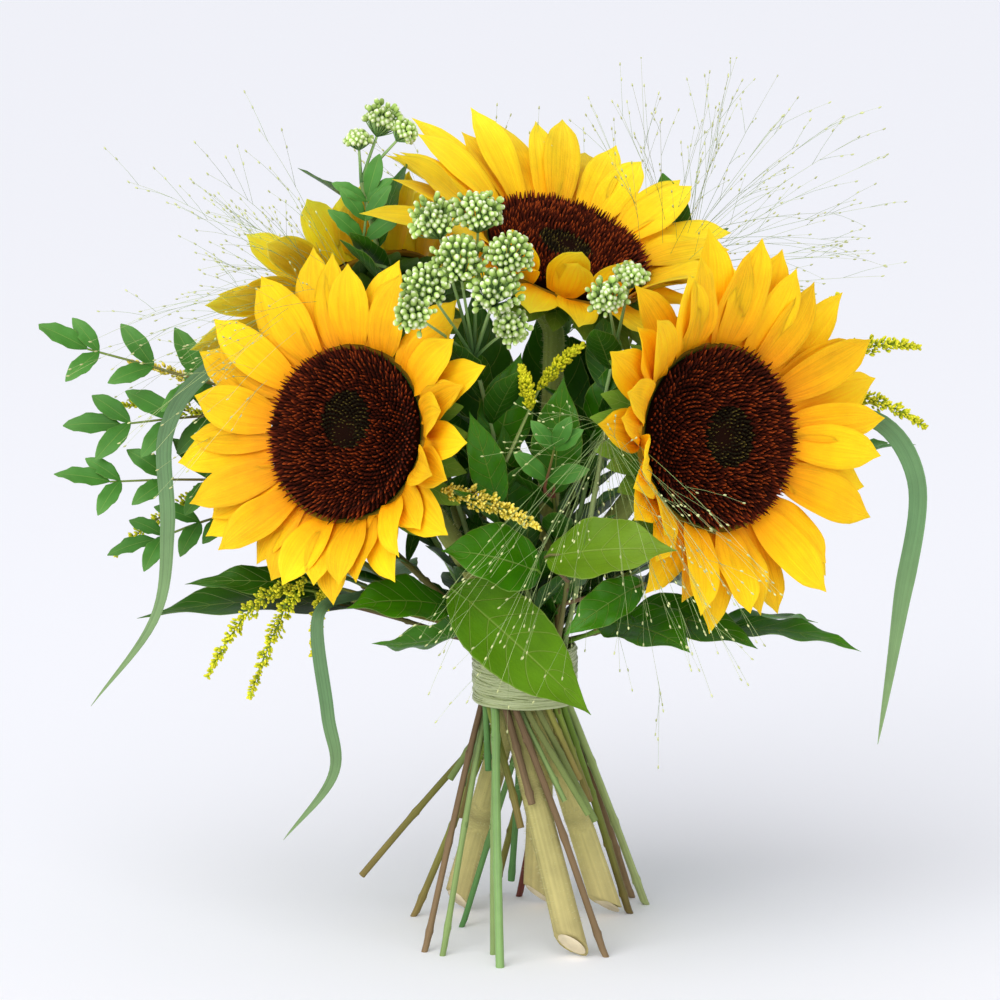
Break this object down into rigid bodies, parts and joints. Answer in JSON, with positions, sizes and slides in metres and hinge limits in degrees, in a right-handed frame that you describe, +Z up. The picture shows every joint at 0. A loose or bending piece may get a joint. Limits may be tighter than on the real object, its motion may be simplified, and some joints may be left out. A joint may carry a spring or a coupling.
{
  "type": "bunch of sunflowers",
  "caption": "Hand-tied spiral bunch of sunflowers with budded filler, goldenrod, leafy sprigs and fountain grass, bound with raffia; stands on its cut stem ends.",
  "frame": {"origin": "Under the centre of the bunch's box, on the surface that the cut stem ends stand on.", "axes": "+Z up, away from the surface; +X to the picture's right; -Y towards the picture's viewer. The cut ends face -Z."},
  "size_m": [0.3954, 0.33, 0.3886],
  "materials": {
    "petal": "satin",
    "seed_disc": "matte",
    "sunflower_green": "matte",
    "raffia": "satin",
    "bud_green": "matte",
    "goldenrod": "matte",
    "leaflet_green": "satin",
    "leaf_green": "satin",
    "grass_green": "matte"
  },
  "bodies": {
    "root": {"sunflower_left_petals": "petal", "sunflower_left_disc": "seed_disc", "sunflower_left_stem": "sunflower_green", "sunflower_right_petals": "petal", "sunflower_right_disc": "seed_disc", "sunflower_right_stem": "sunflower_green", "sunflower_top_petals": "petal", "sunflower_top_disc": "seed_disc", "sunflower_top_stem": "sunflower_green", "sunflower_back_left_petals": "petal", "sunflower_back_left_disc": "seed_disc", "sunflower_back_left_stem": "sunflower_green", "raffia_tie": "raffia", "grass_left": "grass_green", "bud_spray_front": "bud_green", "bud_spray_right": "bud_green", "grass_right": "grass_green", "bud_spray_top_left": "bud_green", "pistacia_top_left": "leaflet_green", "long_leaf_left": "leaf_green", "goldenrod_left": "goldenrod", "pistacia_left_lower": "leaflet_green", "pistacia_left_upper": "leaflet_green", "goldenrod_left_low": "goldenrod", "broad_leaf_front_left": "leaf_green", "broad_leaf_front": "leaf_green", "goldenrod_centre": "goldenrod", "broad_leaf_front_right": "leaf_green", "grass_front": "grass_green", "pistacia_centre": "leaflet_green", "broad_leaf_right": "leaf_green", "broad_leaf_right_low": "leaf_green", "goldenrod_right": "goldenrod", "broad_leaf_back_right": "leaf_green", "pistacia_back": "leaflet_green", "bud_spray_back_right": "bud_green", "broad_leaf_back": "leaf_green", "grass_back": "grass_green", "goldenrod_back": "goldenrod", "bud_spray_back": "bud_green", "broad_leaf_back_left": "leaf_green"}
  },
  "joints": []
}
